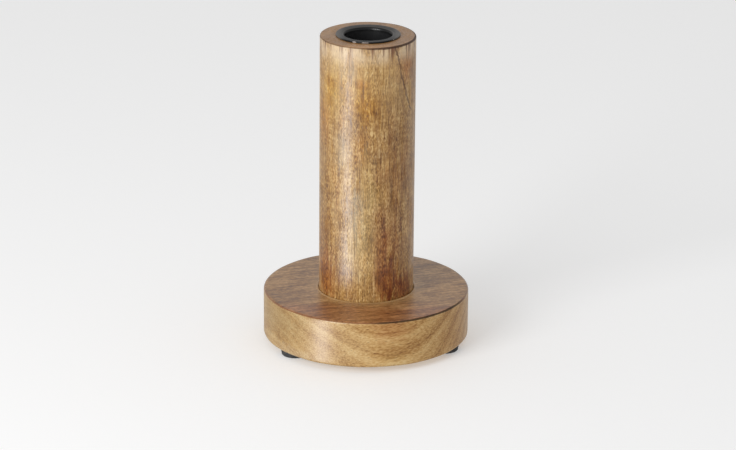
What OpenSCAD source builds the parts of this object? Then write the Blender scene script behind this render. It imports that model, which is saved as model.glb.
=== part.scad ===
// Turned wooden candlestick: a straight round stem set in a round base, with a sheet-metal
// candle cup that drops into the top of the stem. Lengths are in millimetres and +Z is up.
// The origin is on the surface that the feet stand on, under the middle of the base,
// and the front of the candlestick faces -Y.

/* [Base] */
// Diameter of the base
base_d = 100; // [90:1:140]
// Thickness of the base
base_h = 23; // [20:0.5:35]
// Radius of the base's upper and lower edges
base_edge_r = 1.2; // [0.4:0.1:3]
// Depth of the turned seat that takes the end of the stem
seat_depth = 2; // [1.5:0.5:3]
// Height of the fine bead turned around the seat
bead_h = 0.3; // [0.1:0.1:0.5]

/* [Stem] */
// Diameter of the stem
stem_d = 46; // [42:1:60]
// Height of the stem above the base
stem_h = 127.5; // [90:0.5:240]
// Radius of the stem's upper and lower edges
stem_edge_r = 0.6; // [0.3:0.1:1.5]

/* [Candle cup] */
// Inside diameter of the cup, a little over that of the candle
cup_d = 22.5; // [21:0.5:24]
// Depth from the top of the flange to the cup's floor
cup_depth = 24; // [18:1:35]
// Thickness of the cup's sheet metal
cup_t = 0.8; // [0.6:0.1:1.2]
// Outside diameter of the flange
flange_d = 31; // [30:0.5:36]
// Radius of the lip where the flange turns down into the cup
lip_r = 1.6; // [1.4:0.1:2]
// Gap all round between the cup and its hole in the stem
cup_gap = 0.25; // [0.15:0.05:0.4]

/* [Feet] */
// Diameter of a foot where it meets the base
foot_d = 14; // [10:1:16]
// Height of a foot
foot_h = 3; // [2:0.5:5]
// Distance from the base's rim to the nearest edge of a foot
foot_inset = 1; // [0.5:0.5:6]
// Angle of the back foot, anticlockwise from +X
foot_turn = 96; // [60:1:120]

/* [Fasteners] */
// Outside diameter of the centre screw's thread
screw_d = 6; // [5:0.5:7]
// Length of the centre screw under its head
screw_l = 60; // [45:5:80]
// Diameter of the screw's head
head_d = 12; // [10:0.5:14]
// Outside diameter of the washer
washer_d = 18; // [15:1:20]
// Diameter of the dowel pins that stop the stem from turning
dowel_d = 6; // [5:0.5:7]
// Length of a dowel pin
dowel_l = 24; // [16:2:26]
// Distance from the stem's axis to a dowel pin
dowel_pitch_r = 15; // [14:0.5:16]

/* [Hidden] */
$fn = 96;

wood_light = [0.74, 0.55, 0.35];
wood_brown = [0.66, 0.45, 0.27];
dowel_wood = [0.84, 0.71, 0.52];
black_metal = [0.07, 0.07, 0.07];
black_rubber = [0.11, 0.11, 0.11];
bright_steel = [0.72, 0.73, 0.75];

eps = 0.01;

// Heights of the main faces
base_z = foot_h;
base_top = base_z + base_h;
seat_z = base_top - seat_depth;
stem_top = base_top + stem_h;

// Stem seat: a small gap round the stem, and a bead outside it
seat_gap = 0.3;
seat_r = stem_d / 2 + seat_gap;
bead_w = 1.4;
bead_r = (bead_h * bead_h + bead_w * bead_w / 4) / (2 * bead_h);

// Candle cup and the hole that it drops into
cup_r = cup_d / 2;
cup_corner_r = 1.5;
cup_floor_z = stem_top + cup_t - cup_depth;
cup_hole_r = cup_r + cup_t + cup_gap;
cup_hole_depth = cup_depth + 1;
cup_chamfer = lip_r - 0.6;

// Feet
foot_taper = 0.4;
foot_edge_r = 0.6;
foot_pitch_r = base_d / 2 - foot_inset - foot_d / 2;

// Centre screw, its washer and the holes for them
washer_t = 1.5;
washer_hole_r = screw_d / 2 + 0.25;
counterbore_r = washer_d / 2 + 1;
counterbore_depth = 7;
washer_z = base_z + counterbore_depth - washer_t;
head_h = 3.4;
head_edge_r = 1.4;
drive_w = 1.3;
drive_l = 6.2;
drive_depth = 2;
thread_pitch = 2.6;
root_r = screw_d * 0.35;
shank_l = seat_z + 3 - washer_z;
point_l = 6;
thread_turns = floor((screw_l - shank_l - point_l) / thread_pitch);
clearance_r = screw_d / 2 + 0.25;
pilot_depth = washer_z + screw_l + 2 - seat_z;

// Dowel pins and their holes
dowel_chamfer = 0.8;
dowel_flutes = 12;
flute_r = 0.35;
dowel_hole_r = dowel_d / 2 + 0.05;
dowel_hole_l = dowel_l / 2 + 1;

// Solid disc or rod with both of its edges rounded
module turned_rod(r, h, edge_r) {
    rotate_extrude() {
        square([r - edge_r, h]);
        translate([0, edge_r]) square([r, h - 2 * edge_r]);
        for (z = [edge_r, h - edge_r])
            translate([r - edge_r, z])
                intersection() {
                    circle(edge_r);
                    translate([0, -edge_r]) square([edge_r, 2 * edge_r]);
                }
    }
}

// Quarter of a flat ring, in the quadrant that starts at the angle turn
module quarter_ring(outer_r, inner_r, turn) {
    rotate(turn)
        intersection() {
            difference() {
                circle(outer_r);
                circle(inner_r);
            }
            square(outer_r + 1);
        }
}

// Puts its children at both dowel pins' places
module at_dowels() {
    for (turn = [foot_turn, foot_turn + 180])
        rotate(turn) translate([dowel_pitch_r, 0, 0]) children();
}

// Low rounded bead on the base's top face, just outside the stem's seat
module seat_bead() {
    rotate_extrude()
        translate([seat_r + bead_w / 2, base_top])
            intersection() {
                translate([0, bead_h - bead_r]) circle(bead_r);
                translate([-bead_w / 2, -bead_w / 2]) square([bead_w, bead_w]);
            }
}

module base() {
    color(wood_light)
        difference() {
            union() {
                translate([0, 0, base_z]) turned_rod(base_d / 2, base_h, base_edge_r);
                seat_bead();
            }
            translate([0, 0, seat_z]) cylinder(h = seat_depth + 1, r = seat_r);
            translate([0, 0, base_z - 1]) cylinder(h = base_h + 1, r = clearance_r);
            translate([0, 0, base_z - 1]) cylinder(h = counterbore_depth + 1, r = counterbore_r);
            at_dowels()
                translate([0, 0, seat_z - dowel_hole_l])
                    cylinder(h = dowel_hole_l + eps, r = dowel_hole_r);
        }
}

module stem() {
    color(wood_brown)
        difference() {
            translate([0, 0, seat_z]) turned_rod(stem_d / 2, stem_top - seat_z, stem_edge_r);
            translate([0, 0, stem_top - cup_hole_depth])
                cylinder(h = cup_hole_depth + 1, r = cup_hole_r);
            translate([0, 0, stem_top - cup_chamfer])
                cylinder(h = cup_chamfer, r1 = cup_hole_r, r2 = cup_hole_r + cup_chamfer);
            translate([0, 0, seat_z - 1]) cylinder(h = 4, r = screw_d / 2);
            translate([0, 0, seat_z - 1]) cylinder(h = pilot_depth + 1, r = root_r);
            at_dowels()
                translate([0, 0, seat_z - eps])
                    cylinder(h = dowel_hole_l + eps, r = dowel_hole_r);
        }
}

// Drawn cup with a flat flange that rests on the stem
module candle_cup() {
    lip_x = cup_r + lip_r;
    lip_z = stem_top + cup_t - lip_r;
    corner_z = cup_floor_z + cup_corner_r;
    flange_x = flange_d / 2 - cup_t / 2;
    color(black_metal)
        rotate_extrude() {
            translate([0, cup_floor_z - cup_t]) square([cup_r - cup_corner_r, cup_t]);
            translate([cup_r - cup_corner_r, corner_z])
                quarter_ring(cup_corner_r + cup_t, cup_corner_r, -90);
            translate([cup_r, corner_z]) square([cup_t, lip_z - corner_z]);
            translate([lip_x, lip_z]) quarter_ring(lip_r, lip_r - cup_t, 90);
            translate([lip_x, stem_top]) square([flange_x - lip_x, cup_t]);
            translate([flange_x, stem_top + cup_t / 2])
                intersection() {
                    circle(cup_t / 2);
                    translate([0, -cup_t / 2]) square([cup_t / 2, cup_t]);
                }
        }
}

// Pan-head wood screw, put in from below. Its thread is a row of rings at the real pitch.
module centre_screw() {
    crest_r = screw_d / 2;
    thread_end = shank_l + thread_turns * thread_pitch;
    color(bright_steel)
        difference() {
            union() {
                translate([0, 0, washer_z - head_h])
                    rotate_extrude() {
                        square([head_d / 2 - head_edge_r, head_h]);
                        translate([0, head_edge_r])
                            square([head_d / 2, head_h - head_edge_r]);
                        translate([head_d / 2 - head_edge_r, head_edge_r]) circle(head_edge_r);
                    }
                translate([0, 0, washer_z])
                    rotate_extrude()
                        polygon([
                            [0, -eps],
                            [crest_r, -eps],
                            [crest_r, shank_l - thread_pitch / 2],
                            for (i = [0:thread_turns - 1]) each [
                                [root_r, shank_l + i * thread_pitch],
                                [crest_r, shank_l + (i + 0.5) * thread_pitch]
                            ],
                            [root_r, thread_end],
                            [0, thread_end + point_l]
                        ]);
            }
            for (turn = [0, 90])
                translate([0, 0, washer_z - head_h])
                    rotate(foot_turn + turn)
                        cube([drive_l, drive_w, 2 * drive_depth], center = true);
        }
}

module screw_washer() {
    color(bright_steel)
        translate([0, 0, washer_z])
            difference() {
                cylinder(h = washer_t, r = washer_d / 2);
                translate([0, 0, -1]) cylinder(h = washer_t + 2, r = washer_hole_r);
            }
}

// Fluted wooden pin with bevelled ends, half in the base and half in the stem
module dowel(turn) {
    r = dowel_d / 2;
    color(dowel_wood)
        rotate(turn)
            translate([dowel_pitch_r, 0, seat_z - dowel_l / 2])
                difference() {
                    rotate_extrude()
                        polygon([
                            [0, 0],
                            [r - dowel_chamfer, 0],
                            [r, dowel_chamfer],
                            [r, dowel_l - dowel_chamfer],
                            [r - dowel_chamfer, dowel_l],
                            [0, dowel_l]
                        ]);
                    for (i = [0:dowel_flutes - 1])
                        rotate(i * 360 / dowel_flutes)
                            translate([r, 0, -1]) cylinder(h = dowel_l + 2, r = flute_r);
                }
}

// Rubber foot, slightly narrower at the floor than at the base
module foot(turn) {
    top_r = foot_d / 2;
    low_r = top_r - foot_taper;
    color(black_rubber)
        rotate(turn)
            translate([foot_pitch_r, 0, 0])
                rotate_extrude() {
                    square([low_r - foot_edge_r, foot_h]);
                    polygon([
                        [0, foot_edge_r],
                        [low_r, foot_edge_r],
                        [top_r, foot_h],
                        [0, foot_h]
                    ]);
                    translate([low_r - foot_edge_r, foot_edge_r])
                        intersection() {
                            circle(foot_edge_r);
                            translate([0, -foot_edge_r]) square([foot_edge_r, foot_edge_r]);
                        }
                }
}

base();
stem();
candle_cup();
centre_screw();
screw_washer();
dowel(foot_turn + 180);  // dowel_front
dowel(foot_turn);  // dowel_back
foot(foot_turn);  // foot_back
foot(foot_turn + 120);  // foot_front_left
foot(foot_turn + 240);  // foot_front_right
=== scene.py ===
"""The looks of a turned wooden candlestick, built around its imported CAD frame.

Each piece of timber has one solid pattern, so its grain runs through from face to face. Shapes
are in metres, as in the frame, and the materials work in millimetres.
"""

import math
from types import SimpleNamespace

import bmesh
import bpy
import numpy as np
from mathutils import Matrix, Quaternion, Vector, noise


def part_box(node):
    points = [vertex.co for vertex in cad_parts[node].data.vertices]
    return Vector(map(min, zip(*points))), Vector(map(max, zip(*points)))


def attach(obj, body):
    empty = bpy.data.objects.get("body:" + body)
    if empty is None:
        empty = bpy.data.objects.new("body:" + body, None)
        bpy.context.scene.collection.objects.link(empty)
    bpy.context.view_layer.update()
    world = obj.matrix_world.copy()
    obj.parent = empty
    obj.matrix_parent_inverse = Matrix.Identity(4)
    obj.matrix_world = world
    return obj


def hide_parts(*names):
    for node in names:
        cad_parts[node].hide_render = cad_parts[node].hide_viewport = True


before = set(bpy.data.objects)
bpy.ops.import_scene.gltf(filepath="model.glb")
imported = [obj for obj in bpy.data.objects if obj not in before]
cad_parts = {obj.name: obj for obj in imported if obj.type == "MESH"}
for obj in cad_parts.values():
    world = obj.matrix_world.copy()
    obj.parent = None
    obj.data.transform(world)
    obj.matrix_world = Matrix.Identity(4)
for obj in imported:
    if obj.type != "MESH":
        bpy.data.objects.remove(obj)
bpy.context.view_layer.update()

MM = 0.001


# ---------------------------------------------------------------- sizes
# Outer sizes are read from the frame. The others, which no box shows, are the CAD's own values,
# apart from SEAT_GAP: the photo shows the stem tighter in its seat than the CAD's clearance.

base_low, base_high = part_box("base")
stem_low, stem_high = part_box("stem")
cup_low, cup_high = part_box("candle_cup")

BASE_R = base_high.x
BASE_Z = base_low.z
BEAD_H = 0.3 * MM
BASE_TOP = base_high.z - BEAD_H
BASE_EDGE_R = 1.2 * MM

STEM_R = stem_high.x
SEAT_Z = stem_low.z
STEM_TOP = stem_high.z
STEM_EDGE_R = 0.6 * MM
SEAT_GAP = 0.1 * MM
SEAT_R = STEM_R + SEAT_GAP
BEAD_W = 1.4 * MM

CUP_T = 0.8 * MM
FLANGE_R = cup_high.x
CUP_TOP = cup_high.z
CUP_BOTTOM = cup_low.z
CUP_R = 11.25 * MM
LIP_R = 1.6 * MM
CUP_CORNER_R = 1.5 * MM
CUP_GAP = 0.25 * MM
CUP_HOLE_R = CUP_R + CUP_T + CUP_GAP
CUP_HOLE_DEPTH = 25 * MM
CUP_HOLE_Z = STEM_TOP - CUP_HOLE_DEPTH
CUP_CHAMFER = 1.0 * MM

DOWEL_HOLE_R = 3.05 * MM
DOWEL_HOLE_L = 13 * MM
DOWEL_PITCH_R = 15 * MM
BACK_FOOT_DEG = 96  # the dowel pins stand in line with this foot
FOOT_R = 7 * MM

SEGMENTS = 360  # round the turned pieces
FOOT_SEGMENTS = 96
DOWEL_SEGMENTS = 48
SHARP_DEG = 35  # edges at a greater angle than this are shaded as edges


# ---------------------------------------------------------------- outlines and turned solids

def straight(start, end, pieces):
    """Evenly spaced points from start to end."""
    start, end = np.array(start), np.array(end)
    return start + (end - start) * np.linspace(0, 1, pieces + 1)[:, None]


def arc(centre, radius, from_deg, to_deg, steps):
    """Points of a circle's arc, with 0 degrees pointing away from the axis."""
    turn = np.radians(np.linspace(from_deg, to_deg, steps + 1))
    return np.array(centre) + radius * np.stack([np.cos(turn), np.sin(turn)], 1)


def outline(*parts):
    """Joins stretches of outline, leaving out points that repeat."""
    points = np.concatenate(parts)
    gaps = np.linalg.norm(np.diff(points, axis=0), axis=1)
    return points[np.concatenate([[True], gaps > 1e-7])]


def round_noise(angle, frequency, seed):
    """Smooth noise from -1 to 1 that closes on itself round the axis."""
    place = Vector((math.cos(angle), math.sin(angle), 0)) * frequency
    return noise.noise(place + Vector((0, 0, seed)))


def uneven(size, share, angle, frequency, seed):
    """size, which varies round the axis by up to share of itself."""
    return size * (1 + share * round_noise(angle, frequency, seed))


def lathe(name, section, segments=SEGMENTS):
    """A closed solid of revolution, of which section(angle) is the outline at each angle.

    An outline from axis to axis closes there, and any other closes on itself.
    """
    angles = np.arange(segments) * 2 * math.pi / segments
    sections = np.array([section(a) for a in angles])
    count = sections.shape[1]
    on_axis = sections[0, 0, 0] < 1e-9
    radius, height = sections[:, :, 0], sections[:, :, 1]
    east, north = np.cos(angles)[:, None], np.sin(angles)[:, None]
    places = np.stack([radius * east, radius * north, height], 2)
    points = [tuple(p) for p in places.reshape(-1, 3)]

    def at(k, i):
        k = 0 if on_axis and i in (0, count - 1) else k % segments
        return k * count + i % count

    faces = []
    for k in range(segments):
        for i in range(count - 1 if on_axis else count):
            corners = [at(k, i), at(k, i + 1), at(k + 1, i + 1), at(k + 1, i)]
            faces.append(list(dict.fromkeys(corners)))
    mesh = bpy.data.meshes.new(name)
    mesh.from_pydata(points, [], faces)
    obj = bpy.data.objects.new(name, mesh)
    bpy.context.scene.collection.objects.link(obj)
    clean(obj)
    return obj


def clean(obj):
    """Drops loose points, turns the faces outwards and shades the mesh smooth between edges."""
    work = bmesh.new()
    work.from_mesh(obj.data)
    bmesh.ops.delete(work, geom=[v for v in work.verts if not v.link_faces], context="VERTS")
    bmesh.ops.recalc_face_normals(work, faces=work.faces)
    work.to_mesh(obj.data)
    work.free()
    obj.data.shade_smooth()
    obj.data.set_sharp_from_angle(angle=math.radians(SHARP_DEG))


def cut(obj, cutters):
    """Takes the cutters' shapes out of obj and removes them."""
    for cutter in cutters:
        change = obj.modifiers.new("cut", "BOOLEAN")
        change.operation = "DIFFERENCE"
        change.solver = "EXACT"
        change.object = cutter
    bpy.context.view_layer.update()
    result = obj.evaluated_get(bpy.context.evaluated_depsgraph_get())
    mesh = bpy.data.meshes.new_from_object(result)
    obj.modifiers.clear()
    obj.data = mesh
    for cutter in cutters:
        bpy.data.objects.remove(cutter)
    clean(obj)


# ---------------------------------------------------------------- the pieces' shapes

def dowel_holes(low, high):
    """Two rods where the dowel pins go, from low to high."""
    rod_outline = [(0, low), (DOWEL_HOLE_R, low), (DOWEL_HOLE_R, high), (0, high)]
    rods = []
    for turn in (0, 180):
        angle = math.radians(BACK_FOOT_DEG + turn)
        rod = lathe("dowel_cutter", lambda _: rod_outline, DOWEL_SEGMENTS)
        rod.location = (DOWEL_PITCH_R * math.cos(angle), DOWEL_PITCH_R * math.sin(angle), 0)
        rods.append(rod)
    return rods


def stem_section(angle):
    """The stem from the pilot hole's end, round the outside, to the floor of the cup's hole."""
    pilot_r, pilot_end = 2.1 * MM, 69.5 * MM
    shank_r, shank_end = 3 * MM, SEAT_Z + 3 * MM
    edge = uneven(STEM_EDGE_R, 0.45, angle, 3, 1.5)
    side = STEM_R - uneven(0.03 * MM, 1, angle, 1.3, 4.5)
    return outline(
        [(0, pilot_end), (pilot_r, pilot_end)],
        [(pilot_r, shank_end), (shank_r, shank_end)],
        straight((shank_r, SEAT_Z), (side - edge, SEAT_Z), 4),
        arc((side - edge, SEAT_Z + edge), edge, -90, 0, 4),
        straight((side, SEAT_Z + edge), (side, STEM_TOP - edge), 43),
        arc((side - edge, STEM_TOP - edge), edge, 0, 90, 7),
        straight((side - edge, STEM_TOP), (CUP_HOLE_R + CUP_CHAMFER, STEM_TOP), 7),
        [(CUP_HOLE_R, STEM_TOP - CUP_CHAMFER)],
        straight((CUP_HOLE_R, STEM_TOP - CUP_CHAMFER), (CUP_HOLE_R, CUP_HOLE_Z), 5),
        [(0, CUP_HOLE_Z)],
    )


def make_stem():
    """The stem, with the dowel holes in its foot."""
    stem = lathe("stem_wood", stem_section)
    cut(stem, dowel_holes(SEAT_Z - MM, SEAT_Z + DOWEL_HOLE_L))
    return stem


def base_section(angle):
    """The base's ring-shaped section, from its screw hole up, out and back underneath."""
    screw_r, washer_r, washer_z = 3.25 * MM, 10 * MM, BASE_Z + 7 * MM
    bead_mid = SEAT_R + BEAD_W / 2
    bead_r = (BEAD_H ** 2 + BEAD_W ** 2 / 4) / (2 * BEAD_H)
    bead_deg = math.degrees(math.asin(BEAD_W / 2 / bead_r))
    edge = uneven(BASE_EDGE_R, 0.35, angle, 4, 7.5)
    low_edge = uneven(BASE_EDGE_R, 0.3, angle, 4, 11.5)
    side = BASE_R - uneven(0.04 * MM, 1, angle, 1.7, 14.5)
    return outline(
        [(screw_r, washer_z)],
        straight((screw_r, SEAT_Z), (SEAT_R, SEAT_Z), 4),
        arc((bead_mid, BASE_TOP + BEAD_H - bead_r), bead_r, 90 + bead_deg, 90 - bead_deg, 8),
        straight((bead_mid + BEAD_W / 2, BASE_TOP), (side - edge, BASE_TOP), 16),
        arc((side - edge, BASE_TOP - edge), edge, 90, 0, 8),
        straight((side, BASE_TOP - edge), (side, BASE_Z + low_edge), 14),
        arc((side - low_edge, BASE_Z + low_edge), low_edge, 0, -90, 7),
        straight((side - low_edge, BASE_Z), (washer_r, BASE_Z), 10),
        [(washer_r, washer_z)],
    )


def make_base():
    """The base, with the dowel holes in its seat."""
    base = lathe("base_wood", base_section)
    cut(base, dowel_holes(SEAT_Z - DOWEL_HOLE_L, SEAT_Z + MM))
    return base


def cup_section(_):
    """Drawn sheet metal: the cup's inside, over the lip and the flange, and back outside."""
    wall = CUP_R + CUP_T
    lip = (CUP_R + LIP_R, CUP_TOP - LIP_R)
    corner = (CUP_R - CUP_CORNER_R, CUP_BOTTOM + CUP_T + CUP_CORNER_R)
    tip_r = CUP_T / 2
    tip = (FLANGE_R - tip_r, CUP_TOP - tip_r)
    return outline(
        straight((0, CUP_BOTTOM + CUP_T), (corner[0], CUP_BOTTOM + CUP_T), 5),
        arc(corner, CUP_CORNER_R, -90, 0, 8),
        straight((CUP_R, corner[1]), (CUP_R, lip[1]), 10),
        arc(lip, LIP_R, 180, 90, 12),
        straight((lip[0], CUP_TOP), (tip[0], CUP_TOP), 4),
        arc(tip, tip_r, 90, -90, 10),
        straight((tip[0], CUP_TOP - CUP_T), (lip[0], CUP_TOP - CUP_T), 3),
        arc(lip, LIP_R - CUP_T, 90, 180, 8),
        straight((wall, lip[1]), (wall, corner[1]), 10),
        arc(corner, CUP_CORNER_R + CUP_T, 0, -90, 8),
        [(0, CUP_BOTTOM)],
    )


def foot_outline(low, high):
    """A moulded rubber foot: a taper with a soft lower edge and a shallow hollow underneath."""
    taper, edge, hollow = 0.4 * MM, 0.6 * MM, 0.25 * MM
    low_r = FOOT_R - taper
    rim = low_r - edge
    inner_rim = rim - 1.2 * MM
    hollow_r = rim - 1.8 * MM
    return outline(
        straight((0, low + hollow), (hollow_r, low + hollow), 4),
        arc((inner_rim, low + edge), edge, -110, -90, 2),
        straight((inner_rim, low), (rim, low), 2),
        arc((rim, low + edge), edge, -90, 0, 6),
        straight((low_r, low + edge), (FOOT_R, high), 4),
        [(0, high)],
    )


def make_foot(node):
    """A rubber foot in the place of a CAD foot."""
    low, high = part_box(node)
    middle = (low + high) / 2
    points = foot_outline(low.z, high.z)
    foot = lathe(node + "_rubber", lambda _: points, FOOT_SEGMENTS)
    foot.data.transform(Matrix.Translation((middle.x, middle.y, 0)))
    return foot


# ---------------------------------------------------------------- node trees

def srgb(red, green, blue):
    """A linear colour from its screen values, 0 to 255."""
    def linear(value):
        value /= 255
        return value / 12.92 if value <= 0.04045 else ((value + 0.055) / 1.055) ** 2.4
    return (linear(red), linear(green), linear(blue), 1.0)


class Recipe:
    """A material built from nodes. Its methods add them, and most return an output socket."""

    def __init__(self, name):
        self.material = bpy.data.materials.new(name)
        self.material.use_nodes = True
        self.tree = self.material.node_tree
        self.tree.nodes.clear()

    def node(self, kind, **settings):
        made = self.tree.nodes.new(kind)
        for key, value in settings.items():
            setattr(made, key, value)
        return made

    def feed(self, socket, value):
        if isinstance(value, bpy.types.NodeSocket):
            self.tree.links.new(value, socket)
        else:
            socket.default_value = value

    def math(self, operation, a, b=0.0, c=0.0):
        made = self.node("ShaderNodeMath", operation=operation)
        for socket, value in zip(made.inputs, (a, b, c)):
            self.feed(socket, value)
        return made.outputs[0]

    def vector(self, operation, a, b=(0, 0, 0)):
        made = self.node("ShaderNodeVectorMath", operation=operation)
        self.feed(made.inputs[0], a)
        self.feed(made.inputs[1], b)
        return made.outputs["Value" if operation in ("DOT_PRODUCT", "LENGTH") else "Vector"]

    def join(self, x, y, z):
        made = self.node("ShaderNodeCombineXYZ")
        for socket, value in zip(made.inputs, (x, y, z)):
            self.feed(socket, value)
        return made.outputs[0]

    def split(self, vector):
        made = self.node("ShaderNodeSeparateXYZ")
        self.feed(made.inputs[0], vector)
        return made.outputs

    def noise(self, vector, detail=2.0, rough=0.5):
        made = self.node("ShaderNodeTexNoise", noise_dimensions="3D")
        self.feed(made.inputs["Vector"], vector)
        self.feed(made.inputs["Scale"], 1.0)
        self.feed(made.inputs["Detail"], detail)
        self.feed(made.inputs["Roughness"], rough)
        return made.outputs["Fac"]

    def bands(self, place, detail=2.0):
        made = self.node("ShaderNodeTexNoise", noise_dimensions="1D")
        self.feed(made.inputs["W"], place)
        self.feed(made.inputs["Scale"], 1.0)
        self.feed(made.inputs["Detail"], detail)
        return made.outputs["Fac"]

    def cells(self, vector):
        made = self.node("ShaderNodeTexVoronoi", feature="F1")
        self.feed(made.inputs["Vector"], vector)
        self.feed(made.inputs["Scale"], 1.0)
        return made.outputs["Distance"]

    def step(self, value, low, high):
        """0 where value is at low and 1 where it is at high, smooth between."""
        made = self.node("ShaderNodeMapRange", interpolation_type="SMOOTHSTEP", clamp=True)
        self.feed(made.inputs["Value"], value)
        self.feed(made.inputs["From Min"], low)
        self.feed(made.inputs["From Max"], high)
        return made.outputs["Result"]

    def radius(self, x, y):
        """The distance from the candlestick's axis."""
        return self.vector("LENGTH", self.join(x, y, 0.0))

    def angle(self, x, y):
        """The angle round the axis in radians, 0 at the front and positive to the right."""
        return self.math("ARCTAN2", x, self.math("MULTIPLY", y, -1.0))

    def enlarged(self, vector, times):
        return self.vector("MULTIPLY", vector, (times, times, times))

    def weighted(self, start, *terms):
        """start plus each (value, weight) term, the values taken as departures from a half."""
        total = start
        for value, weight in terms:
            total = self.math("MULTIPLY_ADD", self.math("SUBTRACT", value, 0.5), weight, total)
        return total

    def level(self, x, y, times, shift):
        """Coordinates in which nothing changes with height."""
        return self.join(self.math("MULTIPLY", x, times), self.math("MULTIPLY", y, times), shift)

    def mix(self, share, a, b, blend="MIX"):
        made = self.node("ShaderNodeMix", data_type="RGBA", blend_type=blend, clamp_factor=True)
        self.feed(made.inputs["Factor"], share)
        self.feed(made.inputs["A"], a)
        self.feed(made.inputs["B"], b)
        return made.outputs["Result"]

    def tint(self, colour, mask, share, shade, blend="MIX"):
        """colour under a layer of shade, which is as strong as share where mask is 1."""
        return self.mix(self.math("MULTIPLY", mask, share), colour, srgb(*shade), blend)

    def ramp(self, value, stops):
        """The colour at value, from (place, shade) stops."""
        made = self.node("ShaderNodeValToRGB")
        elements = made.color_ramp.elements
        while len(elements) < len(stops):
            elements.new(0.5)
        for element, (place, shade) in zip(elements, stops):
            element.position, element.color = place, srgb(*shade)
        self.feed(made.inputs["Fac"], value)
        return made.outputs["Color"]

    def bump(self, height, distance, strength):
        made = self.node("ShaderNodeBump")
        self.feed(made.inputs["Height"], height)
        self.feed(made.inputs["Distance"], distance)
        self.feed(made.inputs["Strength"], strength)
        return made.outputs["Normal"]

    def millimetres(self):
        """Places in the row frame, in millimetres."""
        place = self.node("ShaderNodeTexCoord").outputs["Object"]
        made = self.node("ShaderNodeVectorMath", operation="SCALE")
        self.feed(made.inputs[0], place)
        made.inputs["Scale"].default_value = 1000.0
        return made.outputs["Vector"]

    def surface(self, **sockets):
        """The finished material. Each keyword names a socket of the Principled shader."""
        shader = self.node("ShaderNodeBsdfPrincipled")
        for name, value in sockets.items():
            self.feed(shader.inputs[name.replace("_", " ")], value)
        output = self.node("ShaderNodeOutputMaterial")
        self.tree.links.new(shader.outputs["BSDF"], output.inputs["Surface"])
        return self.material


# ---------------------------------------------------------------- wood

SPOT_RAGGEDNESS = 1.8  # how far a noise moves the edge of a spot, in spot sizes
SPOT_OUTER, SPOT_INNER = 1.2, 0.2  # where a spot fades in and where it is full, in spot sizes
BURN_OUTER, BURN_INNER = 1.7, 0.8  # the same for a burnt line, in line widths
PORE_CORE = 0.45  # the full part of a pore, as a share of its size


class Wood(Recipe):
    """Solid timber: growth layers, fibres and pores that all follow one grain direction."""

    def __init__(self, name, grain, layers, seed):
        super().__init__(name)
        grain = Vector(grain).normalized()
        layers = Vector(layers)
        layers = (layers - grain * layers.dot(grain)).normalized()
        self.grain = grain
        self.place = self.millimetres()
        self.along = self.vector("DOT_PRODUCT", self.place, grain)
        self.across = self.vector("DOT_PRODUCT", self.place, layers)
        self.beside = self.vector("DOT_PRODUCT", self.place, grain.cross(layers))
        self.seed = seed

    def stretched(self, length, width, shift=0.0):
        """Coordinates in which the grain's features are length long and width wide, in mm."""
        return self.join(
            self.math("DIVIDE", self.along, length),
            self.math("DIVIDE", self.across, width),
            self.math("MULTIPLY_ADD", self.beside, 1 / width, self.seed + shift),
        )

    def streaks(self, length, width, shift, detail=2.0, rough=0.5):
        return self.noise(self.stretched(length, width, shift), detail, rough)

    def warped(self, amount, length, width, shift):
        """The distance across the layers, bent by a slow noise."""
        bend = self.math("SUBTRACT", self.streaks(length, width, shift, 2.0), 0.5)
        return self.math("MULTIPLY_ADD", bend, 2 * amount, self.across)

    def rings(self, pith, amount):
        """The distance from the pith's line, which runs along the grain, bent by a slow noise."""
        offset = self.vector("SUBTRACT", self.place, pith)
        along = self.vector("DOT_PRODUCT", offset, self.grain)
        length_squared = self.vector("DOT_PRODUCT", offset, offset)
        along_squared = self.math("MULTIPLY", along, along)
        distance = self.math("SQRT", self.math("SUBTRACT", length_squared, along_squared))
        bend = self.math("SUBTRACT", self.streaks(60, 14, 1.0, 2.0), 0.5)
        return self.math("MULTIPLY_ADD", bend, 2 * amount, distance)

    def pores(self, length, width, shift, size):
        """1 in the middle of a pore and 0 outside it."""
        distance = self.cells(self.stretched(length, width, shift))
        return self.step(distance, size, size * PORE_CORE)

    def paint(self, colour, spots, blend):
        """colour with soft, ragged spots blended over it."""
        ragged = self.math("SUBTRACT", self.streaks(9, 2.0, 31.0, 3.0, 0.6), 0.5)
        for centre, size, shade, share in spots:
            offset = self.vector("SUBTRACT", self.place, centre)
            distance = self.vector("LENGTH", self.vector("DIVIDE", offset, size))
            distance = self.math("MULTIPLY_ADD", ragged, SPOT_RAGGEDNESS, distance)
            inside = self.step(distance, SPOT_OUTER, SPOT_INNER)
            colour = self.tint(colour, inside, share, shade, blend)
        return colour

    def edge_distance(self, radius, below_top, edge_r, edge_z):
        """The distance from the ring of radius edge_r that lies edge_z below the top."""
        inwards = self.math("SUBTRACT", edge_r, radius)
        downwards = self.math("SUBTRACT", below_top, edge_z)
        return self.vector("LENGTH", self.join(inwards, downwards, 0.0))

    def burnt_line(self, distance, width):
        """1 along an edge that the tool has burnt, and 0 away from it."""
        outer = self.math("MULTIPLY", width, BURN_OUTER)
        inner = self.math("MULTIPLY", width, BURN_INNER)
        return self.step(distance, outer, inner)


# ---------------------------------------------------------------- the stem's wood

CRACK_START = 0.60  # radians round from the front, at the rim
CRACK_LEAN = 0.41  # and how much further round it gets on its way down
CRACK_HOOK = 0.10  # most of this comes in the last few millimetres
CRACK_LENGTH = 33.7  # mm down from the rim
DRIP_LENGTH = 8.5  # mm by which the strongest stain is longer than the faintest


def on_stem(degrees, height):
    """A point on the stem's side, by its angle from the front and its height, in mm."""
    turn = math.radians(degrees)
    radius = STEM_R / MM
    return (radius * math.sin(turn), -radius * math.cos(turn), height)


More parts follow.
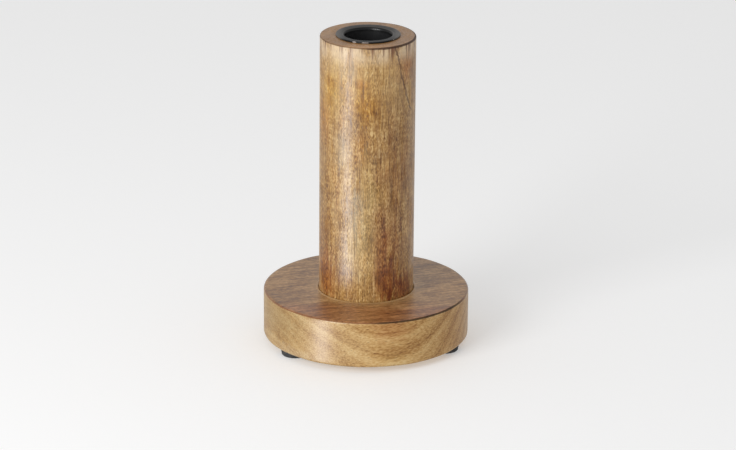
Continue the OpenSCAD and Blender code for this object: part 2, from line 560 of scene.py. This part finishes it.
# Broad patches laid over the stem's colour: middle, size along x, y and z in mm, colour, share.
# Shades are multiplied with the wood's colour, and lights are screened over it. The pale lights
# from 14 to 38 degrees left of the front are painted highlight that widens and whitens the gloss
# band.

STEM_SHADES = [
    (on_stem(-42, 133.5), (9, 9, 11), (255, 242, 172), 0.9),
    (on_stem(-4, 126), (8, 14, 14), (252, 236, 172), 0.9),
    (on_stem(-8, 135.5), (3, 6, 3), (255, 226, 176), 0.7),
    (on_stem(-6, 116), (7, 8, 7), (232, 230, 232), 0.7),
    (on_stem(-68, 115), (6, 7, 16), (252, 228, 184), 0.7),
    (on_stem(-62, 78), (10, 10, 46), (236, 230, 218), 0.9),
    (on_stem(-5, 104), (5, 8, 12), (248, 228, 200), 0.7),
    (on_stem(15, 78), (5, 7, 48), (230, 218, 214), 0.6),
    (on_stem(34, 80), (7, 8, 52), (241, 233, 228), 0.9),
    (on_stem(31, 80), (1.2, 4, 14), (205, 200, 198), 0.7),
    (on_stem(60, 70), (18, 14, 90), (240, 231, 222), 0.7),
    (on_stem(21, 46), (6, 8, 17), (218, 182, 146), 0.8),
    (on_stem(26, 35), (8, 9, 13), (216, 178, 140), 0.95),
    (on_stem(40, 48), (5, 6, 22), (228, 208, 188), 0.7),
    (on_stem(54, 28), (9, 9, 12), (216, 184, 164), 0.9),
    (on_stem(-60, 37), (11, 11, 17), (216, 172, 118), 0.95),
    (on_stem(54, 142), (8, 8, 9), (240, 200, 164), 0.85),
    (on_stem(15, 124), (7, 7, 9), (238, 228, 204), 0.8),
    (on_stem(32, 109), (6, 6, 7), (214, 204, 196), 0.85),
    (on_stem(15, 100), (5, 5, 5), (230, 230, 240), 0.8),
    (on_stem(54, 92), (7, 7, 14), (226, 214, 204), 0.8),
    (on_stem(15, 69), (5, 6, 8), (228, 218, 214), 0.8),
    (on_stem(-58, 60), (8, 8, 10), (232, 218, 194), 0.85),
    (on_stem(22, 57), (10, 10, 12), (242, 224, 202), 0.8),
    (on_stem(-38, 42), (8, 9, 9), (224, 216, 204), 0.85),
    (on_stem(50, 31), (11, 10, 8), (224, 190, 158), 0.85),
]

STEM_PALE_AND_HIGHLIGHT_PATCHES = [
    (on_stem(-2, 46), (8, 10, 24), (76, 68, 42), 0.8),
    (on_stem(0, 138), (9, 11, 14), (84, 74, 50), 0.85),
    (on_stem(-14, 62), (5, 7, 22), (92, 92, 74), 0.85),
    (on_stem(32, 130), (8, 8, 17), (96, 84, 62), 0.85),
    (on_stem(-38, 72), (4, 5, 15), (72, 68, 56), 0.6),
    (on_stem(-38, 143), (14, 10, 8), (116, 108, 86), 0.9),
    (on_stem(34, 144), (7, 8, 7), (112, 84, 54), 0.85),
    (on_stem(-36, 128), (4, 6, 14), (104, 98, 74), 0.9),
    (on_stem(-1, 74), (6, 8, 36), (98, 90, 62), 0.9),
    (on_stem(-52, 126), (10, 10, 12), (120, 88, 22), 0.6),
    (on_stem(-33, 103), (5, 6, 14), (62, 90, 90), 0.75),
    (on_stem(14, 79), (5, 6, 9), (74, 74, 36), 0.6),
    (on_stem(-14, 74), (6, 8, 11), (54, 68, 74), 0.6),
]


def stem_figure(wood):
    """The stem's pattern at its several scales, each from 0 to 1."""
    return SimpleNamespace(
        layers=wood.bands(wood.math("DIVIDE", wood.warped(3.0, 70, 16, 1.0), 5.5), 3.0),
        flecks=wood.streaks(1.5, 0.45, 2.0, 1.0, 0.5),
        fine=wood.streaks(6.0, 0.5, 2.5, 2.0, 0.6),
        coarse=wood.streaks(28, 1.6, 3.0, 2.0),
        cloud=wood.streaks(13, 6, 4.0, 3.0),
        pores=wood.pores(4.0, 0.9, 5.0, 0.24),
    )


def stem_side(wood, figure, z):
    """Stripes along the grain, with thin dark lines and, in speckled zones, deeper flecks."""
    ripple = wood.noise(wood.stretched(2.0, 7.0, 6.0), 2.0, 0.6)
    sway = wood.streaks(50, 3.0, 6.5, 2.0)
    speckled = wood.step(wood.streaks(17, 5, 9.0, 2.0), 0.40, 0.62)
    fleck_depth = wood.math("MULTIPLY_ADD", speckled, 0.8, 0.85)
    fleck_depth = wood.math("MULTIPLY_ADD", wood.step(z, 95.0, 50.0), 0.35, fleck_depth)
    lines = wood.step(wood.streaks(14, 0.42, 7.7, 1.0), 0.57, 0.68)
    lines = wood.math("MULTIPLY", lines, wood.math("MULTIPLY_ADD", speckled, -0.75, 1.0))

    tone = wood.weighted(
        0.56,
        (figure.layers, 0.3),
        (figure.fine, 0.6),
        (figure.coarse, 0.5),
        (figure.cloud, 0.7),
        (ripple, 0.55),
        (sway, 0.45),
    )
    flecks = wood.math("SUBTRACT", figure.flecks, 0.5)
    tone = wood.math("MULTIPLY_ADD", flecks, fleck_depth, tone)
    tone = wood.math("MULTIPLY_ADD", lines, -0.42, tone)
    colour = wood.ramp(tone, [
        (0.08, (114, 76, 34)),
        (0.38, (158, 115, 60)),
        (0.60, (185, 142, 82)),
        (0.92, (222, 187, 128)),
    ])
    orange = wood.step(wood.streaks(26, 6, 14.0, 3.0), 0.50, 0.72)
    grey = wood.step(wood.streaks(40, 4, 15.0, 3.0), 0.50, 0.72)
    colour = wood.tint(colour, orange, 0.5, (250, 230, 200), "MULTIPLY")
    colour = wood.tint(colour, grey, 0.5, (240, 240, 255), "MULTIPLY")
    colour = wood.paint(colour, STEM_SHADES, "MULTIPLY")
    # Among the lights, those from 14 to 38 degrees left of the front are painted highlight on the
    # gloss band.
    return wood.paint(colour, STEM_PALE_AND_HIGHLIGHT_PATCHES, "SCREEN")


def aged_top(wood, colour, cloud, x, y, below_top):
    """The stem's paler top part, washed out under the rim, with stains that run down from it."""
    colour = wood.mix(wood.step(below_top, 36.0, 14.0), colour, srgb(78, 56, 32), "SCREEN")
    washed = wood.math("MULTIPLY", wood.step(below_top, 11.0, 3.0), wood.step(cloud, 0.25, 0.6))
    colour = wood.tint(colour, washed, 0.68, (232, 208, 174))
    drip = wood.step(wood.noise(wood.level(x, y, 0.62, 2.0), 2.0, 0.6), 0.48, 0.62)
    length = wood.math("MULTIPLY_ADD", drip, DRIP_LENGTH, 0.6)
    stains = wood.math("MULTIPLY", wood.step(below_top, length, 1.0), drip)
    return wood.tint(colour, stains, 0.85, (112, 62, 34))


def cracked(wood, colour, angle, below_top):
    """A drying crack from the rim down, which leans to the right and hooks at its end."""
    fall = wood.math("DIVIDE", below_top, CRACK_LENGTH)
    course = wood.math("MULTIPLY_ADD", fall, CRACK_LEAN, CRACK_START)
    course = wood.math("MULTIPLY_ADD", wood.math("POWER", fall, 6.0), CRACK_HOOK, course)
    wander = wood.math("SUBTRACT", wood.streaks(5, 5, 8.0, 2.0), 0.5)
    wander = wood.math("MULTIPLY", wander, 0.18)
    off_course = wood.math("ADD", wood.math("SUBTRACT", angle, course), wander)
    half_width = wood.math("MULTIPLY_ADD", fall, 0.018, 0.019)
    inside = wood.step(wood.math("ABSOLUTE", off_course), half_width, 0.010)
    inside = wood.math("MULTIPLY", inside, wood.step(fall, 1.04, 0.96))
    return wood.tint(colour, inside, 0.72, (88, 54, 32))


def end_grain(wood, layers, y):
    """The stem's sawn top, a little warmer at the front."""
    dashes = wood.streaks(3, 1.1, 12.0, 3.0, 0.6)
    tone = wood.weighted(0.5, (layers, 0.6), (dashes, 0.7))
    colour = wood.ramp(tone, [(0.2, (118, 77, 38)), (0.8, (190, 143, 88))])
    return wood.tint(colour, wood.step(y, -14.0, -21.0), 0.5, (206, 148, 84))


def stem_burn(wood, x, y, below_top):
    """The dark line along the top edge, from 0 to 1. It is wider and darker on the right."""
    distance = wood.edge_distance(wood.radius(x, y), below_top, STEM_R / MM - 0.3, 0.3)
    to_right = wood.step(x, -6.0, 6.0)
    waver = wood.math("ADD", wood.noise(wood.level(x, y, 0.2, 9.0), 3.0), 0.5)
    width = wood.math("MULTIPLY", wood.math("MULTIPLY_ADD", to_right, 0.25, 0.25), waver)
    depth = wood.math("MULTIPLY_ADD", to_right, 0.35, 0.55)
    return wood.math("MULTIPLY", wood.burnt_line(distance, width), depth)


def stem_wood():
    """Lacquered wood with its grain upright, and a gloss that comes and goes along it."""
    wood = Wood("stem_wood", grain=(0, 0, 1), layers=(0.9, -0.45, 0), seed=3.0)
    x, y, z = wood.split(wood.place)
    below_top = wood.math("SUBTRACT", STEM_TOP / MM, z)
    figure = stem_figure(wood)

    colour = stem_side(wood, figure, z)
    colour = aged_top(wood, colour, figure.cloud, x, y, below_top)
    colour = cracked(wood, colour, wood.angle(x, y), below_top)
    on_top = wood.step(below_top, 0.45, 0.05)
    colour = wood.mix(on_top, colour, end_grain(wood, figure.layers, y))
    colour = wood.tint(colour, figure.pores, 0.5, (96, 58, 30))
    burnt = stem_burn(wood, x, y, below_top)
    colour = wood.mix(burnt, colour, srgb(58, 32, 20))

    height = wood.weighted(0.5, (figure.flecks, 0.6), (figure.coarse, 0.4))
    height = wood.math("SUBTRACT", height, wood.math("MULTIPLY", figure.pores, 0.8))
    lacquer = wood.math("ADD", height, wood.streaks(30, 1.2, 16.0, 3.0, 0.7))
    gloss_lines = wood.streaks(12, 1.3, 17.0, 3.0, 0.65)
    gloss_patches = wood.streaks(9, 7, 18.0, 2.0)
    sheen = wood.weighted(0.9, (gloss_lines, 3.2), (gloss_patches, 1.2))
    sheen = wood.math("MINIMUM", wood.math("MAXIMUM", sheen, 0.3), 1.0)
    return wood.surface(
        Base_Color=colour,
        Roughness=wood.weighted(0.42, (figure.fine, 0.2), (figure.cloud, 0.12)),
        Normal=wood.bump(height, 0.06 * MM, 0.6),
        Specular_IOR_Level=0.2,
        Coat_Weight=wood.math("MULTIPLY", sheen, wood.math("MULTIPLY_ADD", burnt, -0.8, 1.0)),
        Coat_Roughness=0.40,
        Coat_Normal=wood.bump(lacquer, 0.10 * MM, 0.6),
    )


# ---------------------------------------------------------------- the base's wood

PITH = (1.6, -4.7, -15)  # a point on the middle line of the tree that the base was sawn from
RING_STEP = 6.4  # mm from one growth ring to the next

BASE_SHADES = [
    ((-42, -26, 19), (20, 26, 12), (234, 236, 238), 0.95),
    ((12, -48, 23), (12, 10, 7), (240, 222, 212), 0.9),
    ((44, -22, 14), (18, 22, 22), (247, 238, 230), 0.9),
]

BASE_LIGHTS = [
    ((-6, -49, 12), (11, 10, 16), (84, 78, 62), 0.8),
    ((-36, -34, 4), (18, 16, 5), (84, 86, 80), 0.8),
    ((14, -48, 5), (10, 8, 6), (76, 66, 36), 0.7),
]


def base_figure(wood):
    """The base's pattern at its several scales, each from 0 to 1, and ring, a distance in mm."""
    ring = wood.rings(PITH, 2.4)
    return SimpleNamespace(
        ring=ring,
        layers=wood.bands(wood.math("DIVIDE", ring, 3.6), 3.0),
        flecks=wood.streaks(2.0, 0.5, 2.0, 1.0, 0.5),
        fine=wood.streaks(8, 0.8, 2.5, 2.0, 0.6),
        coarse=wood.streaks(26, 1.8, 3.0, 2.0),
        cloud=wood.streaks(30, 10, 4.0, 3.0),
        ripple=wood.noise(wood.stretched(2.5, 7.0, 9.0), 2.0, 0.6),
        dashes=wood.streaks(2.0, 1.2, 7.0, 2.0, 0.6),
        pores=wood.pores(5, 1.0, 5.0, 0.24),
    )


def late_wood(wood, figure, x):
    """The dark end of each growth ring, from 0 to 1. It is fainter on the left."""
    late = wood.math("POWER", wood.math("FRACT", wood.math("DIVIDE", figure.ring, RING_STEP)), 5.0)
    late = wood.math("MULTIPLY", late, wood.step(figure.cloud, 0.25, 0.5))
    to_right = wood.math("MULTIPLY_ADD", wood.step(x, -26.0, 4.0), 0.6, 0.3)
    return wood.math("MULTIPLY", late, to_right)


def base_side(wood, figure, late, x):
    """The turned side, where the rings show as wide curves, wavy on the right."""
    wavy = wood.math("MULTIPLY_ADD", figure.ripple, 2.4, figure.ring)
    wavy = wood.math("SUBTRACT", wood.bands(wood.math("DIVIDE", wavy, 0.8), 1.0), 0.5)
    wavy = wood.math("MULTIPLY_ADD", wavy, wood.step(x, -4.0, 12.0), 0.5)
    tone = wood.weighted(
        0.58,
        (figure.layers, 0.48),
        (figure.flecks, 0.8),
        (figure.fine, 0.25),
        (figure.coarse, 0.2),
        (figure.cloud, 0.5),
        (wavy, 0.16),
    )
    colour = wood.ramp(wood.math("MULTIPLY_ADD", late, -0.25, tone), [
        (0.10, (124, 80, 38)),
        (0.38, (174, 128, 70)),
        (0.60, (202, 160, 100)),
        (0.88, (222, 187, 130)),
    ])
    colour = wood.mix(wood.step(x, 5.0, -35.0), colour, srgb(243, 248, 255), "MULTIPLY")
    colour = wood.paint(colour, BASE_SHADES, "MULTIPLY")
    return wood.paint(colour, BASE_LIGHTS, "SCREEN")


def base_face(wood, figure, late, y):
    """The flat top, sawn along the grain: short dashes in stripes, redder at the front where the
    stem's reflection is painted in.
    """
    stripes = wood.streaks(17, 1.7, 8.0, 3.0, 0.65)
    tone = wood.weighted(
        0.52,
        (figure.dashes, 1.15),
        (stripes, 1.6),
        (figure.cloud, 0.5),
        (figure.layers, 0.3),
        (figure.ripple, 0.3),
    )
    colour = wood.ramp(wood.math("MULTIPLY_ADD", late, -0.12, tone), [
        (0.10, (106, 66, 32)),
        (0.50, (155, 112, 62)),
        (0.90, (196, 154, 102)),
    ])
    # Painted reflection: the top is redder in front of the stem, standing in for the stem's darker
    # reflection.
    in_front = wood.step(wood.math("MULTIPLY_ADD", figure.cloud, 20.0, y), -8.0, -24.0)
    return wood.mix(in_front, colour, srgb(248, 222, 212), "MULTIPLY")


def seat_marks(wood, colour, radius, on_top):
    """The bead round the stem's foot and the paler ring outside it."""
    bead_middle = (SEAT_R + BEAD_W / 2) / MM
    from_bead = wood.math("ABSOLUTE", wood.math("SUBTRACT", radius, bead_middle))
    bead = wood.math("MULTIPLY", wood.step(from_bead, 1.0, 0.4), on_top)
    colour = wood.tint(colour, bead, 0.4, (164, 126, 74))
    halo = wood.math("MULTIPLY", wood.step(radius, 30.0, 26.0), on_top)
    return wood.tint(colour, halo, 0.32, (190, 152, 98))


def base_wood():
    """Lacquered wood with its grain lying level, glossier on top and along the edge."""
    wood = Wood("base_wood", grain=(0.945, 0.29, 0.07), layers=(0.284, -0.823, 0.49), seed=11.0)
    x, y, z = wood.split(wood.place)
    radius = wood.radius(x, y)
    below_top = wood.math("SUBTRACT", BASE_TOP / MM, z)
    on_top = wood.step(below_top, 0.5, 0.1)
    figure = base_figure(wood)
    late = late_wood(wood, figure, x)

    colour = wood.mix(on_top, base_side(wood, figure, late, x), base_face(wood, figure, late, y))
    colour = wood.tint(colour, figure.pores, 0.45, (100, 62, 32))

    from_edge = wood.edge_distance(radius, below_top, BASE_R / MM - 0.45, 0.4)
    to_right = wood.math("MULTIPLY", wood.step(x, -2.0, 10.0), wood.step(y, -10.0, -26.0))
    waver = wood.noise(wood.level(x, y, 0.09, 5.0), 4.0, 0.6)
    waver = wood.math("MULTIPLY_ADD", waver, 1.4, 0.3)
    width = wood.math("MULTIPLY", wood.math("MULTIPLY_ADD", to_right, 0.18, 0.22), waver)
    burnt = wood.burnt_line(from_edge, width)
    char = wood.mix(to_right, srgb(132, 78, 38), srgb(30, 20, 15))
    colour = wood.mix(wood.math("MULTIPLY", burnt, 0.85), colour, char)
    colour = seat_marks(wood, colour, radius, on_top)

    height = wood.weighted(0.5, (figure.flecks, 0.5), (figure.coarse, 0.4))
    height = wood.math("SUBTRACT", height, wood.math("MULTIPLY", figure.pores, 0.8))
    on_edge = wood.step(from_edge, 0.9, 0.6)
    rough = wood.weighted(0.40, (figure.fine, 0.15), (figure.cloud, 0.1))
    coat = wood.math("MULTIPLY_ADD", wood.math("MAXIMUM", on_top, on_edge), 0.55, 0.45)
    matt = wood.math("MULTIPLY", burnt, to_right)
    return wood.surface(
        Base_Color=colour,
        Roughness=wood.math("MULTIPLY_ADD", on_edge, -0.15, rough),
        Normal=wood.bump(height, 0.05 * MM, 0.6),
        Specular_IOR_Level=0.2,
        Coat_Weight=wood.math("MULTIPLY", coat, wood.math("MULTIPLY_ADD", matt, -0.85, 1.0)),
        Coat_Roughness=0.35,
        Coat_Normal=wood.bump(wood.math("ADD", height, figure.dashes), 0.04 * MM, 0.5),
    )


# ---------------------------------------------------------------- dowels, metal and rubber

# Pale places round the flange's edge: angle from the front and reach, in degrees. The first is a
# painted highlight and the second a worn chip.
CHIPS_AND_GLINT = [(-25, 4), (-5, 7)]


def dowel_wood():
    """Bare beech with its dark flecks."""
    wood = Wood("dowel_wood", grain=(0, 0, 1), layers=(1, 0, 0), seed=23.0)
    fine = wood.streaks(6, 0.4, 1.0, 3.0, 0.6)
    layers = wood.bands(wood.math("DIVIDE", wood.warped(0.6, 30, 5, 2.0), 1.4), 2.0)
    flecks = wood.pores(3, 0.5, 3.0, 0.3)
    tone = wood.weighted(0.5, (fine, 0.6), (layers, 0.6))
    colour = wood.ramp(tone, [(0.2, (186, 146, 104)), (0.8, (226, 196, 154))])
    return wood.surface(
        Base_Color=wood.tint(colour, flecks, 0.5, (150, 106, 68)),
        Roughness=wood.weighted(0.7, (fine, 0.2)),
        Normal=wood.bump(fine, 0.04 * MM, 0.6),
    )


def flange_painted_sheen(paint, x, radius, smear):
    """Painted reflection at the flange's left and right ends, broken up by a noise, and a thin
    painted highlight along the lip.
    """
    pale_patches = paint.step(paint.math("ABSOLUTE", x), 10.5, 15.0)
    pale_patches = paint.math("MULTIPLY", pale_patches, paint.math("MULTIPLY_ADD", smear, 0.9, 0.25))
    off_lip = paint.math("ABSOLUTE", paint.math("SUBTRACT", radius, CUP_R / MM + 0.9))
    lip = paint.math("MULTIPLY", paint.step(off_lip, 0.5, 0.1), 0.5)
    return paint.math("MAXIMUM", pale_patches, lip)


def flange_chips_and_glint(paint, angle, radius, smear):
    """Places on the flange's outer edge painted pale: worn chips, and a painted highlight at -25
    degrees.
    """
    chips_and_glint = paint.step(smear, 0.62, 0.68)
    for middle, reach in CHIPS_AND_GLINT:
        off = paint.math("ABSOLUTE", paint.math("SUBTRACT", angle, math.radians(middle)))
        pale_mark = paint.step(off, math.radians(reach), math.radians(reach * 0.6))
        chips_and_glint = paint.math("MAXIMUM", chips_and_glint, pale_mark)
    on_edge = paint.step(radius, FLANGE_R / MM - 0.3, FLANGE_R / MM - 0.05)
    return paint.math("MULTIPLY", chips_and_glint, on_edge)


def black_metal():
    """Black painted sheet, glossy inside the cup and painted paler there for light, chipped on the
    flange, with painted reflection and highlights on the flange.
    """
    paint = Recipe("black_metal")
    place = paint.millimetres()
    x, y, z = paint.split(place)
    radius = paint.radius(x, y)
    top = CUP_TOP / MM
    speckle = paint.noise(paint.enlarged(place, 2.4), 3.0, 0.6)
    smear = paint.noise(paint.enlarged(place, 0.35), 3.0)
    on_flange = paint.step(z, top - 1.3, top - 0.5)
    inside = paint.step(z, top - 1.2, top - 3.0)

    colour = paint.mix(speckle, srgb(8, 8, 9), srgb(22, 21, 21))
    # Painted light: the paint is paler inside the cup, standing in for light in the hollow.
    colour = paint.mix(inside, colour, srgb(40, 40, 41))
    # Painted reflection at the flange's ends and a painted highlight along the lip, in pale grey.
    pale_patches = paint.math("MULTIPLY", on_flange, flange_painted_sheen(paint, x, radius, smear))
    colour = paint.mix(pale_patches, colour, srgb(108, 104, 100))
    # Worn chips, and one painted highlight, on the flange's outer edge.
    chips_and_glint = flange_chips_and_glint(paint, paint.angle(x, y), radius, smear)
    chips_and_glint = paint.math("MULTIPLY", on_flange, chips_and_glint)
    colour = paint.mix(chips_and_glint, colour, srgb(156, 148, 142))
    return paint.surface(
        Base_Color=colour,
        Roughness=paint.weighted(0.36, (speckle, 0.15), (smear, 0.15)),
        Metallic=paint.math("MULTIPLY", chips_and_glint, 0.5),
        Normal=paint.bump(speckle, 0.02 * MM, 0.5),
        Specular_IOR_Level=0.3,
        Coat_Weight=paint.step(z, top - 0.6, top - 2.0),
        Coat_Roughness=0.2,
    )


def black_rubber():
    """Matt moulded rubber with dust on it."""
    rubber = Recipe("black_rubber")
    place = rubber.millimetres()
    grain = rubber.noise(rubber.enlarged(place, 3.0), 3.0, 0.7)
    pale_patches = rubber.noise(rubber.enlarged(place, 0.5), 2.0)
    return rubber.surface(
        Base_Color=rubber.mix(rubber.step(pale_patches, 0.45, 0.75), srgb(30, 30, 31), srgb(62, 60, 58)),
        Roughness=rubber.weighted(0.66, (grain, 0.25)),
        Normal=rubber.bump(grain, 0.05 * MM, 0.6),
    )


def zinc_steel():
    """Zinc-plated steel with fine turning marks."""
    steel = Recipe("zinc_steel")
    place = steel.millimetres()
    x, y, _ = steel.split(place)
    turning = steel.bands(steel.math("MULTIPLY", steel.radius(x, y), 6.0), 3.0)
    blotch = steel.noise(steel.enlarged(place, 0.6), 3.0)
    return steel.surface(
        Base_Color=steel.mix(blotch, srgb(176, 176, 172), srgb(206, 203, 190)),
        Metallic=1.0,
        Roughness=steel.weighted(0.32, (turning, 0.2), (blotch, 0.2)),
        Normal=steel.bump(turning, 0.01 * MM, 0.5),
    )


# ---------------------------------------------------------------- camera, floor and light

CAMERA_DISTANCE = 1.602
CAMERA_ELEVATION = math.radians(21.36)
CAMERA_AIM = Vector((0.0007, 0, 0.0576))
CAMERA_ROLL = math.radians(0.48)
CAMERA_RISE = 3.5 * MM
CAMERA_LENS = 159.6
SENSOR_WIDTH = 36.0

FLOOR_REACH = 4.0
FLOOR_GLOW = 0.28
ROOM_BRIGHTNESS = 0.55
LIGHT_AIM = Vector((0, 0, 0.08))


def make_camera():
    """Looks along +Y and down at the candlestick through a long lens."""
    data = bpy.data.cameras.new("camera")
    data.lens = CAMERA_LENS
    data.sensor_width = SENSOR_WIDTH
    camera = bpy.data.objects.new("camera", data)
    bpy.context.scene.collection.objects.link(camera)
    back, up = math.cos(CAMERA_ELEVATION), math.sin(CAMERA_ELEVATION)
    camera.location = Vector((0, -back, up)) * CAMERA_DISTANCE + Vector((0, 0, CAMERA_RISE))
    look = (CAMERA_AIM - camera.location).to_track_quat("-Z", "Y")
    camera.rotation_mode = "QUATERNION"
    camera.rotation_quaternion = look @ Quaternion((0, 0, 1), CAMERA_ROLL)
    bpy.context.scene.camera = camera


def make_floor():
    """A large pale floor under the feet, which takes shadows but lights nothing."""
    around = [(-1, -1), (1, -1), (1, 1), (-1, 1)]
    corners = [(east * FLOOR_REACH, north * FLOOR_REACH, 0) for east, north in around]
    mesh = bpy.data.meshes.new("floor")
    mesh.from_pydata(corners, [], [tuple(range(len(corners)))])
    floor = bpy.data.objects.new("floor", mesh)
    bpy.context.scene.collection.objects.link(floor)
    pale = Recipe("pale_floor")
    floor.data.materials.append(pale.surface(
        Base_Color=(0.8, 0.8, 0.8, 1),
        Roughness=0.8,
        Emission_Color=(1, 1, 1, 1),
        Emission_Strength=FLOOR_GLOW,
    ))
    floor.visible_diffuse = False
    floor.visible_glossy = False
    floor.visible_shadow = False


def softbox(name, azimuth, elevation, distance, width, height, power):
    """A rectangular light that faces the candlestick. Azimuth 0 is the camera's side."""
    data = bpy.data.lights.new(name, "AREA")
    data.shape = "RECTANGLE"
    data.size, data.size_y = width, height
    data.energy = power
    light = bpy.data.objects.new(name, data)
    bpy.context.scene.collection.objects.link(light)
    a, e = math.radians(azimuth), math.radians(elevation)
    towards = Vector((math.sin(a) * math.cos(e), -math.cos(a) * math.cos(e), math.sin(e)))
    light.location = LIGHT_AIM + towards * distance
    light.rotation_euler = (LIGHT_AIM - light.location).to_track_quat("-Z", "Y").to_euler()
    light.visible_camera = False
    return light


def make_light():
    """A white room, a soft key from the left and a strip that only gloss picks up."""
    world = bpy.data.worlds.new("studio")
    world.use_nodes = True
    background = world.node_tree.nodes["Background"]
    background.inputs["Color"].default_value = (1.0, 1.0, 1.0, 1)
    background.inputs["Strength"].default_value = ROOM_BRIGHTNESS
    bpy.context.scene.world = world
    softbox("key", -40, 20, distance=1.3, width=0.7, height=0.7, power=10)
    strip = softbox("strip", -48.5, -21, distance=1.0, width=0.16, height=0.3, power=5.5)
    strip.visible_diffuse = False


# ---------------------------------------------------------------- the scene

FEET = ("foot_back", "foot_front_left", "foot_front_right")
SCREW_AND_WASHER = ("centre_screw", "screw_washer")
DOWELS = ("dowel_front", "dowel_back")


def dress(obj, material):
    obj.data.materials.clear()
    obj.data.materials.append(material)


def stand_for(piece, node, body, material):
    """Puts a piece in a CAD node's place, on its body."""
    dress(piece, material)
    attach(piece, body)
    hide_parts(node)


bpy.context.scene.view_settings.view_transform = "Standard"

make_camera()
make_floor()
make_light()

stand_for(make_stem(), "stem", "root", stem_wood())
stand_for(make_base(), "base", "root", base_wood())
stand_for(lathe("candle_cup_metal", cup_section), "candle_cup", "cup", black_metal())

rubber = black_rubber()
for node in FEET:
    stand_for(make_foot(node), node, "root", rubber)

for material, nodes in ((zinc_steel(), SCREW_AND_WASHER), (dowel_wood(), DOWELS)):
    for node in nodes:
        dress(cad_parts[node], material)
